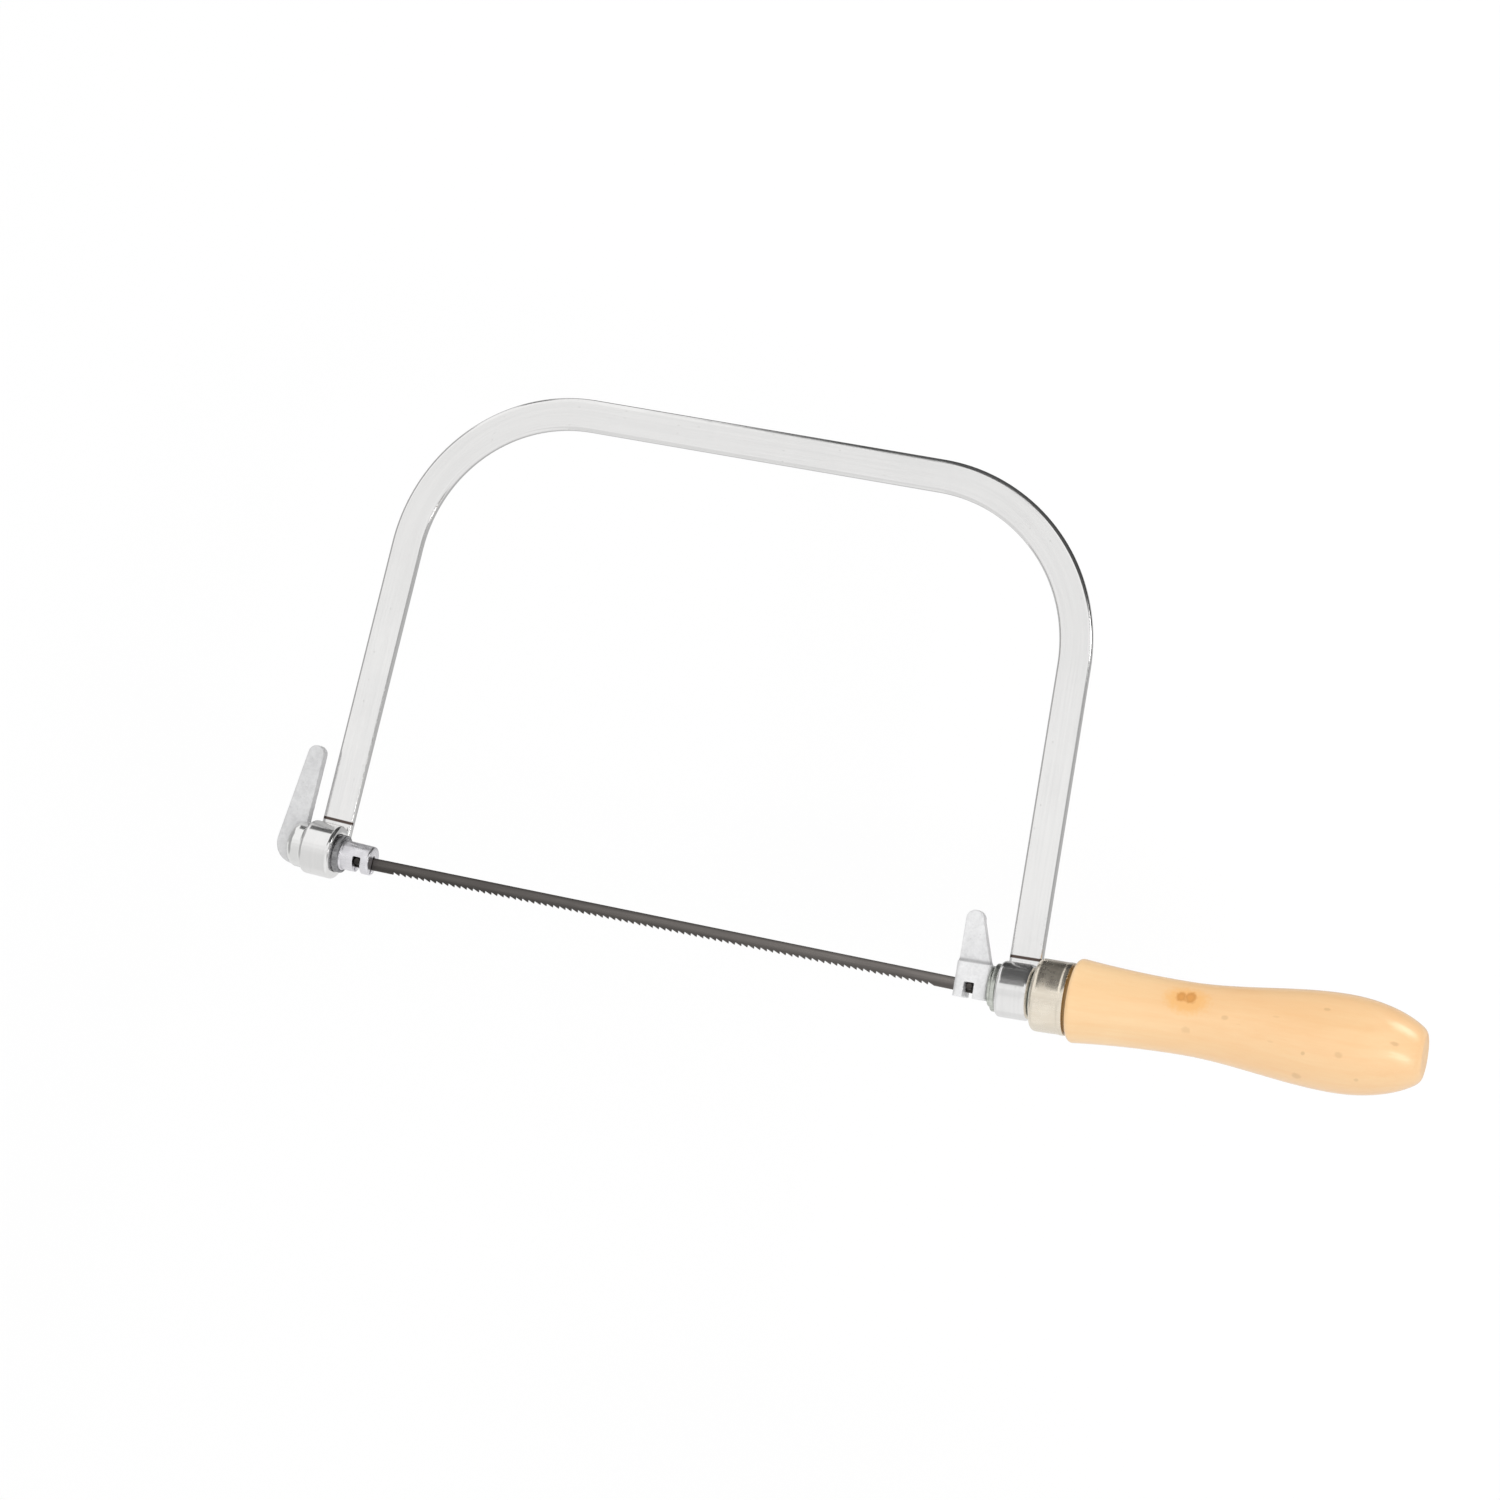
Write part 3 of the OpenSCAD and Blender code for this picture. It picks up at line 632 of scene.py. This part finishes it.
def makeWood():
    look = handle
    material, tree, shader = startFinish("handle_wood")
    where = tree.nodes.new("ShaderNodeTexCoord").outputs["Object"]
    run = put(tree, "Mapping", {  # X along the handle from its shoulder, in millimetres
        "Vector": where, "Scale": perMillimetre, "Rotation": (0.0, saw["splay"], 0.0),
        "Location": (-halfSpan * tiltCos - look["face"], 0.0, halfSpan * tiltSin)}).outputs[0]
    along = split(tree, run)[0]
    wander = sway(tree, stretch(tree, run, look["swayStretch"]), look["swayScale"], look["swayDetail"], look["sway"])
    ring = lengthOf(tree, stretch(tree, awayFrom(tree, run, look["pith"]), look["ringStretch"]))
    wave = calc(tree, "SINE", times(tree, calc(tree, "ADD", ring, wander), look["ringRate"]))
    year = between(tree, wave, *look["ringEdge"])
    grain = useGroup(tree, streaks, {"Vector": run, **look["grain"]})
    fibre = useGroup(tree, streaks, {"Vector": run, **look["fibre"]})
    cloud = useGroup(tree, mottle, {"Vector": stretch(tree, run, look["patchStretch"]), "Scale": look["patch"]})
    fleck = useGroup(tree, pits, {"Vector": stretch(tree, run, look["fleckStretch"]), **look["fleck"]})
    depth = weigh(tree, (year, look["ringShare"]), (grain["Shade"], look["grainShare"]),
                  (cloud["Patch"], look["patchShare"]))
    colour = tint(tree, depth, look["pale"], look["deep"])
    colour = tint(tree, times(tree, fibre["Shade"], look["fibreShare"]), colour, look["line"])
    colour = tint(tree, times(tree, fleck["Mask"], look["fleckShare"]), colour, look["speck"])
    warm = between(tree, along, look["warmFrom"], look["warmTo"], 0.0, look["warmShare"])
    colour = tint(tree, warm, colour, look["warm"], "MULTIPLY")  # deeper towards the swell
    for group, shown in (("halos", "halo"), ("knots", "knot"), ("specks", "speck")):
        for place, angle, size, strength in look[group]:
            r, a = handleRadius(place), math.radians(angle)
            mark = useGroup(tree, grainMark, {"Vector": run, "Centre": (place, -r * math.cos(a), r * math.sin(a)),
                                              "Size": size, "Strength": strength})
            colour = tint(tree, mark["Mask"], colour, look[shown])
            if group == "knots":
                colour = tint(tree, mark["Rim"], colour, look["rim"])
    # Painted shadow on the bare tenon, in the gap between the ferrule and the handle's shoulder
    colour = tint(tree, between(tree, along, *look["tenonShadowEdge"]), colour, look["tenon"], "MULTIPLY")
    low, high = look["rough"]
    rough = between(tree, cloud["Grain"], look["roughFrom"], look["roughTo"], high, low)
    height = weigh(tree, (fibre["Height"], look["relief"]), (grain["Height"], look["relief"]))
    join(tree, shader, colour, rough, height, look["bump"], look["bumpDepth"])
    coat = between(tree, along, look["len"] - look["varnishFade"], look["len"], look["varnish"], look["buttVarnish"])
    tree.links.new(coat, shader.inputs["Coat Weight"])
    shader.inputs["Coat Roughness"].default_value = look["varnishRough"]
    shader.inputs["Specular IOR Level"].default_value = look["specular"]
    return material


def makeHandle():
    h = handle
    face, r, tenonR, buttR = h["face"], h["shoulderR"], h["tenonD"] / 2, h["buttD"] / 2
    outline = softOutline([(h["tenonFace"], h["nutR"], 0), (h["tenonFace"], tenonR, h["tenonRound"]),
                           (face, tenonR, 0)])
    for k in range(h["shoulderSteps"] + 1):
        a = math.radians(90 * k / h["shoulderSteps"])
        outline.append((face + r * (1 - math.cos(a)), handleRadius(r) - r * (1 - math.sin(a))))
    last = h["len"] - h["buttRound"]
    runs = [r + (h["swellAt"] - r) * k / h["bodySteps"] for k in range(1, h["bodySteps"] + 1)]
    runs += [h["swellAt"] + (last - h["swellAt"]) * math.sin(math.pi / 2 * k / h["tailSteps"])
             for k in range(1, h["tailSteps"] + 1)]
    outline += [(face + s, handleRadius(s)) for s in runs]
    end = face + h["len"]
    side, corner, flat = Vector(outline[-1]), Vector((end, buttR)), Vector((end, buttR - h["buttRound"]))
    for k in range(1, h["buttSteps"] + 1):
        t = k / h["buttSteps"]
        p = side.lerp(corner, t).lerp(corner.lerp(flat, t), t)
        outline.append((p.x, p.y))
    bore = h["tenonFace"] + h["nutLen"]
    outline += [(end, buttR / 2), (end, 0.0), (h["rodEnd"], 0.0), (h["rodEnd"], h["rodR"]), (bore, h["rodR"]),
                (bore, h["nutR"])]
    addPiece("handleTurned", lathe(outline, heelEnd, h["segments"]), "handle")


finish["handle_wood"] = makeWood()
makeHandle()
print("handle turned")


# Tension rod with its thread cut beyond the clamp
rod = {"start": 2.3, "end": 42.3, "d": 6.0, "plainTo": 4.9, "pitch": 1.0, "depth": 0.55, "crest": 0.15, "perTurn": 8,
       "segments": 48}


def makeRod():
    steps = int((rod["end"] - rod["start"]) / rod["pitch"] * rod["perTurn"])
    angles = [math.tau * i / rod["segments"] for i in range(rod["segments"])]
    rings, stations = [], []
    for i in range(steps + 1):
        u = rod["start"] + (rod["end"] - rod["start"]) * i / steps
        fade = min(1.0, max(0.0, (u - rod["plainTo"]) / rod["pitch"]))
        tail = max(0.0, 1 - (rod["end"] - u) / rod["depth"])
        ring = []
        for a in angles:
            turn = (u / rod["pitch"] - a / math.tau) % 1.0
            cut = rod["depth"] * max(0.0, (1 + rod["crest"]) * abs(2 * turn - 1) - rod["crest"]) * fade
            r = rod["d"] / 2 - max(cut, rod["depth"] * tail)
            ring.append(heelEnd(u, r * math.sin(a), r * math.cos(a)))
        rings.append(ring)
        stations.append((u, 0.0))
    around = [rod["d"] / 2 * math.tau * i / rod["segments"] for i in range(rod["segments"] + 1)]
    addPiece("tensionRodThread", gridMesh(rings, runLengths(stations), around, capped=True), "tension_rod")


makeRod()
print("rod threaded")


# Blade with set teeth. Heights in its finish are above the spigot axis
blade = {
    "height": 3.2, "thick": 0.5, "overhang": 1.7, "plainEnd": 9.0, "pitch": 1.7, "depth": 0.7, "set": 0.13,
    "chamfer": 0.07, "sharpFrom": 20.0,
    "dark": (0.088, 0.081, 0.077, 1), "light": (0.128, 0.117, 0.109, 1), "heelLightGain": 2.0,
    "grain": {"Length": 26.0, "Fineness": 3.4}, "grainShare": 0.45,
    "patchStretch": (0.1, 1.0, 1.0), "patch": 0.35, "patchShare": 0.35,
    "topShade": 0.45, "topTo": -0.1, "toothShade": 0.58, "toothFrom": -1.7, "toothTo": -0.5,
    "slotShade": 0.4, "slotFrom": 2.8, "slotTo": 1.6,  # painted shade this far short of the pins, where the blade enters the slots
    "ground": (0.20, 0.185, 0.17, 1), "groundTop": -1.9, "groundLow": -2.3, "groundRag": 0.3, "groundShare": 0.5,
    "rough": (0.26, 0.36), "bump": 0.10, "bumpDepth": 0.08, "metal": 0.92,
}
bladeTop = blade["height"] / 2 - saw["pinDrop"]


def makeBladeSteel():
    look = blade
    material, tree, shader = startFinish("blade_steel")
    body = objectRun(tree)
    along, _, across = split(tree, body)
    grain = useGroup(tree, streaks, {"Vector": body, **look["grain"]})
    cloud = useGroup(tree, mottle, {"Vector": stretch(tree, body, look["patchStretch"]), "Scale": look["patch"]})
    shade = weigh(tree, (grain["Shade"], look["grainShare"]), (cloud["Patch"], look["patchShare"]))
    colour = tint(tree, shade, look["dark"], look["light"])
    # Painted light and shade: brighter towards the heel, darker along the top edge and over the teeth
    gain = put(tree, "MapRange", {0: along, 1: -halfSpan, 2: halfSpan, 3: 1.0, 4: look["heelLightGain"]}).outputs[0]
    fall = calc(tree, "MINIMUM", between(tree, across, bladeTop, look["topTo"], look["topShade"], 1.0),
                between(tree, across, look["toothFrom"], look["toothTo"], look["toothShade"], 1.0))
    held = between(tree, calc(tree, "ABSOLUTE", along), halfSpan - look["slotFrom"], halfSpan - look["slotTo"],
                   1.0, look["slotShade"])
    gain = times(tree, gain, times(tree, fall, held))
    colour = put(tree, "VectorMath", {0: colour, "Scale": gain}, operation="SCALE").outputs[0]
    ragged = calc(tree, "ADD", across, times(tree, cloud["Grain"], look["groundRag"]))
    band = between(tree, ragged, look["groundTop"], look["groundLow"])
    colour = tint(tree, times(tree, band, look["groundShare"]), colour, look["ground"])
    low, high = look["rough"]
    rough = between(tree, cloud["Patch"], 0.0, 1.0, high, low)
    join(tree, shader, colour, rough, grain["Height"], look["bump"], look["bumpDepth"])
    shader.inputs["Metallic"].default_value = look["metal"]
    return material


def makeBlade():
    b = blade
    half = halfSpan + b["overhang"]
    teeth = math.floor((saw["pinSpan"] - 2 * b["plainEnd"]) / b["pitch"])
    start = -teeth * b["pitch"] / 2
    stop = start + teeth * b["pitch"]
    edge = -b["height"] / 2 - saw["pinDrop"]
    root, side = edge + b["depth"], b["thick"] / 2
    bm = bmesh.new()

    def pair(x, y, z):  # front and back vertex
        return [bm.verts.new(Vector((x, shift, z)) * mm) for shift in y]

    flat = (-side, side)
    xs = [-half] + [start + i * b["pitch"] for i in range(teeth + 1)] + [half]
    tops = [pair(x, (-side + b["chamfer"], side - b["chamfer"]), bladeTop) for x in xs]
    shoulders = [pair(x, flat, bladeTop - b["chamfer"]) for x in xs]
    roots = [pair(x, flat, root) for x in xs]
    endLow = [pair(x, flat, edge) for x in (-half, start, stop, half)]
    for i in range(len(xs) - 1):
        bm.faces.new((tops[i][0], tops[i + 1][0], tops[i + 1][1], tops[i][1]))
        for f in (0, 1):
            bm.faces.new((tops[i][f], tops[i + 1][f], shoulders[i + 1][f], shoulders[i][f]))
            bm.faces.new((shoulders[i][f], shoulders[i + 1][f], roots[i + 1][f], roots[i][f]))
    for i in range(teeth):
        here, after = roots[i + 1], roots[i + 2]
        last = i == teeth - 1
        lean = b["set"] * (1 if i % 2 else -1)
        tip = endLow[2] if last else pair(start + (i + 1) * b["pitch"], (-side + lean, side + lean), edge)
        for f in (0, 1):
            bm.faces.new((here[f], after[f], tip[f]))
        bm.faces.new((here[0], tip[0], tip[1], here[1]))
        if not last:
            bm.faces.new((tip[0], after[0], after[1], tip[1]))
    for (a, c, low, lowIn) in ((0, 1, endLow[0], endLow[1]), (len(xs) - 1, len(xs) - 2, endLow[3], endLow[2])):
        for f in (0, 1):
            bm.faces.new((roots[a][f], roots[c][f], lowIn[f], low[f]))
        bm.faces.new((low[0], lowIn[0], lowIn[1], low[1]))
        bm.faces.new((tops[a][0], tops[a][1], shoulders[a][1], shoulders[a][0]))
        bm.faces.new((shoulders[a][0], shoulders[a][1], roots[a][1], roots[a][0]))
        bm.faces.new((roots[a][0], roots[a][1], low[1], low[0]))
    bm.faces.new((roots[1][0], endLow[1][0], endLow[1][1], roots[1][1]))
    bmesh.ops.recalc_face_normals(bm, faces=bm.faces)
    piece = addPiece("bladeToothed", bm, "blade")
    piece.data.set_sharp_from_angle(angle=math.radians(b["sharpFrom"]))


# Cross pins of the blade
pinShape = {"d": 1.7, "len": 6.2, "dome": 0.35, "domeSteps": 6, "segments": 40}


def makePin(node, name, side):
    r, half, dome = pinShape["d"] / 2, pinShape["len"] / 2, pinShape["dome"]

    def place(u, y, z):
        return Vector((side * halfSpan + y, u, z - saw["pinDrop"])) * mm

    corners = [(-half, 0.0, 0), (-half, r, dome), (half, r, dome), (half, 0.0, 0)]
    addPiece(name, lathe(softOutline(corners, pinShape["domeSteps"]), place, pinShape["segments"]), node)


finish["blade_steel"] = makeBladeSteel()
makeBlade()
makePin("toe_pin", "toePinCross", -1)
makePin("heel_pin", "heelPinCross", 1)
nodes["handle_nut"].data.materials.clear()
nodes["handle_nut"].data.materials.append(finish["rod_steel"])
print("blade and pins made")


# Stage, in metres: pale ground behind the lying saw, cards that only gloss sees, soft lamps, camera

def panel(x, y, z):  # corners of a flat card: ranges on two axes, one number on the third
    if not isinstance(x, tuple):
        return [(x, y[0], z[0]), (x, y[1], z[0]), (x, y[1], z[1]), (x, y[0], z[1])]
    if not isinstance(y, tuple):
        return [(x[0], y, z[0]), (x[1], y, z[0]), (x[1], y, z[1]), (x[0], y, z[1])]
    return [(x[0], y[0], z), (x[1], y[0], z), (x[1], y[1], z), (x[0], y[1], z)]


stage = {
    "groundY": 0.16, "groundHalf": 4.0, "groundLevel": 0.94, "groundGlow": 0.7, "worldLight": 0.97,
    "cards": {  # grey level and corners
        "cardFront": (0.89, panel((-2.5, 2.5), -1.7, (0.20, 0.42))),
        "cardFrontMid": (0.95, panel((-2.5, 2.5), -1.7, (0.09, 0.20))),
        "cardFrontBright": (0.95, panel((-2.5, 2.5), -1.7, (-0.06, 0.09))),
        "cardFrontLow": (0.84, panel((-2.5, 2.5), -1.7, (-2.0, -0.06))),
        "cardUnderToe": (0.78, panel((-1.0, -0.18), (-1.7, 0.156), -0.62)),
        "cardUnderHeel": (0.92, panel((-0.18, 1.1), (-1.7, 0.156), -0.62)),
        "cardRight": (0.42, panel(1.1, (-0.80, 0.15), (-0.8, 0.8))),
        "cardLeft": (0.42, panel(-1.0, (-0.6, 0.15), (-0.8, 0.8))),
        "cardBehind": (0.50, panel((-1.0, 1.1), 0.156, (0.0, 0.62))),
        "cardBelow": (0.82, panel((-1.0, 1.1), 0.156, (-0.62, 0.0))),
        "cardAbove": (0.09, [(-0.24, -0.95, 0.62), (0.9, -0.95, 0.62), (0.9, 0.15, 0.62), (-0.15, 0.15, 0.62)]),
        "cardBack": (0.06, panel((-0.15, 0.9), 0.15, (0.14, 0.62))),
        "cardEyeBand": (0.07, panel((-0.36, -0.207), -1.3, (0.46, 0.86))),
        "cardRingBand": (0.05, panel((-0.207, -0.10), -1.3, (0.43, 0.86))),
        "cardToe": (0.10, panel((-0.22, -0.165), (-0.075, 0.06), 0.30)),
        "cardHighGlint": (6.5, [(0.243, -0.055, 0.148), (0.292, -0.041, 0.118), (0.274, 0.010, 0.136),
                                (0.224, -0.004, 0.166)]),
        "cardLowGlint": (6.8, [(0.276, -0.131, -0.037), (0.314, -0.084, -0.061), (0.313, -0.099, -0.017),
                               (0.275, -0.146, 0.007)])},
    "lamps": [("highLamp", (0.84, -0.96, 0.94), 0.42, 3.0), ("lowLamp", (0.88, -1.20, -0.15), 0.30, 1.5)],
    "lampAim": (0.03, 0.0, 0.05),
}


def flatPlane(name, corners, material):
    bm = bmesh.new()
    bm.faces.new([bm.verts.new(c) for c in corners])
    mesh = bpy.data.meshes.new(name)
    bm.to_mesh(mesh)
    bm.free()
    mesh.materials.append(material)
    plane = bpy.data.objects.new(name, mesh)
    scene.collection.objects.link(plane)
    return plane


def shownRays(tree):  # rays that see the backdrop: camera, gloss and glass; and shadow rays
    path = tree.nodes.new("ShaderNodeLightPath").outputs
    seen = calc(tree, "MAXIMUM", path["Is Camera Ray"], path["Is Glossy Ray"])
    return calc(tree, "MAXIMUM", seen, path["Is Transmission Ray"]), path["Is Shadow Ray"]


def mixShader(tree, factor, first, second):
    return put(tree, "MixShader", {0: factor, 1: first, 2: second}).outputs[0]


def makeGround():
    material = bpy.data.materials.new("paleGround")
    material.use_nodes = True
    tree = material.node_tree
    tree.nodes.clear()
    seen, shadow = shownRays(tree)
    lit = put(tree, "BsdfDiffuse", {"Color": grey(stage["groundLevel"])}).outputs[0]
    glow = put(tree, "Emission", {"Color": grey(1), "Strength": 1.0}).outputs[0]
    shown = mixShader(tree, times(tree, seen, stage["groundGlow"]), lit, glow)
    back = tree.nodes.new("ShaderNodeNewGeometry").outputs["Backfacing"]
    clear = tree.nodes.new("ShaderNodeBsdfTransparent").outputs[0]
    both = mixShader(tree, calc(tree, "MAXIMUM", back, shadow), shown, clear)
    tree.links.new(both, tree.nodes.new("ShaderNodeOutputMaterial").inputs["Surface"])
    span = (-stage["groundHalf"], stage["groundHalf"])
    flatPlane("ground", panel(span, stage["groundY"], span), material)


def makeCards():
    for name, (level, corners) in stage["cards"].items():
        material, tree, shader = startFinish(name)
        tree.nodes.remove(shader)
        glow = put(tree, "Emission", {"Color": grey(1), "Strength": level}).outputs[0]
        tree.links.new(glow, tree.nodes["Material Output"].inputs["Surface"])
        card = flatPlane(name, corners, material)
        card.visible_camera = card.visible_diffuse = card.visible_shadow = card.visible_transmission = False


def makeLamps():
    for name, place, size, power in stage["lamps"]:
        data = bpy.data.lights.new(name, "AREA")
        data.size = size
        data.energy = power
        lamp = bpy.data.objects.new(name, data)
        lamp.location = place
        lamp.rotation_euler = (Vector(stage["lampAim"]) - Vector(place)).to_track_quat("-Z", "Y").to_euler()
        lamp.visible_glossy = False
        scene.collection.objects.link(lamp)


def makeWorld():
    world = bpy.data.worlds.new("studio")
    world.use_nodes = True
    tree = world.node_tree
    tree.nodes.clear()
    seen, _ = shownRays(tree)
    light = put(tree, "Background", {"Color": grey(1), "Strength": stage["worldLight"]}).outputs[0]
    white = put(tree, "Background", {"Color": grey(1), "Strength": 1.0}).outputs[0]
    both = mixShader(tree, seen, light, white)
    tree.links.new(both, tree.nodes.new("ShaderNodeOutputWorld").inputs["Surface"])
    scene.world = world


# Camera at the photo's viewing angle: place in millimetres, and its axes
shot = {"place": (341.44, -1085.36, -4.42), "right": (0.94035, 0.2742, 0.20137), "down": (0.1803, 0.10026, -0.97849),
        "ahead": (-0.28849, 0.95643, 0.04484), "lens": 108.0, "sensor": 36.0, "clip": (0.05, 20.0)}


def makeCamera():
    data = bpy.data.cameras.new("photoCamera")
    data.lens, data.sensor_width = shot["lens"], shot["sensor"]
    data.clip_start, data.clip_end = shot["clip"]
    camera = bpy.data.objects.new("photoCamera", data)
    right, down, ahead = (Vector(shot[k]) for k in ("right", "down", "ahead"))
    turn = Matrix((right, -down, -ahead)).transposed().to_4x4()
    camera.matrix_world = Matrix.Translation(Vector(shot["place"]) * mm) @ turn
    scene.collection.objects.link(camera)
    scene.camera = camera


makeGround()
makeCards()
makeLamps()
makeWorld()
makeCamera()
scene.view_settings.view_transform = "Standard"
print("stage, lamps and camera made")
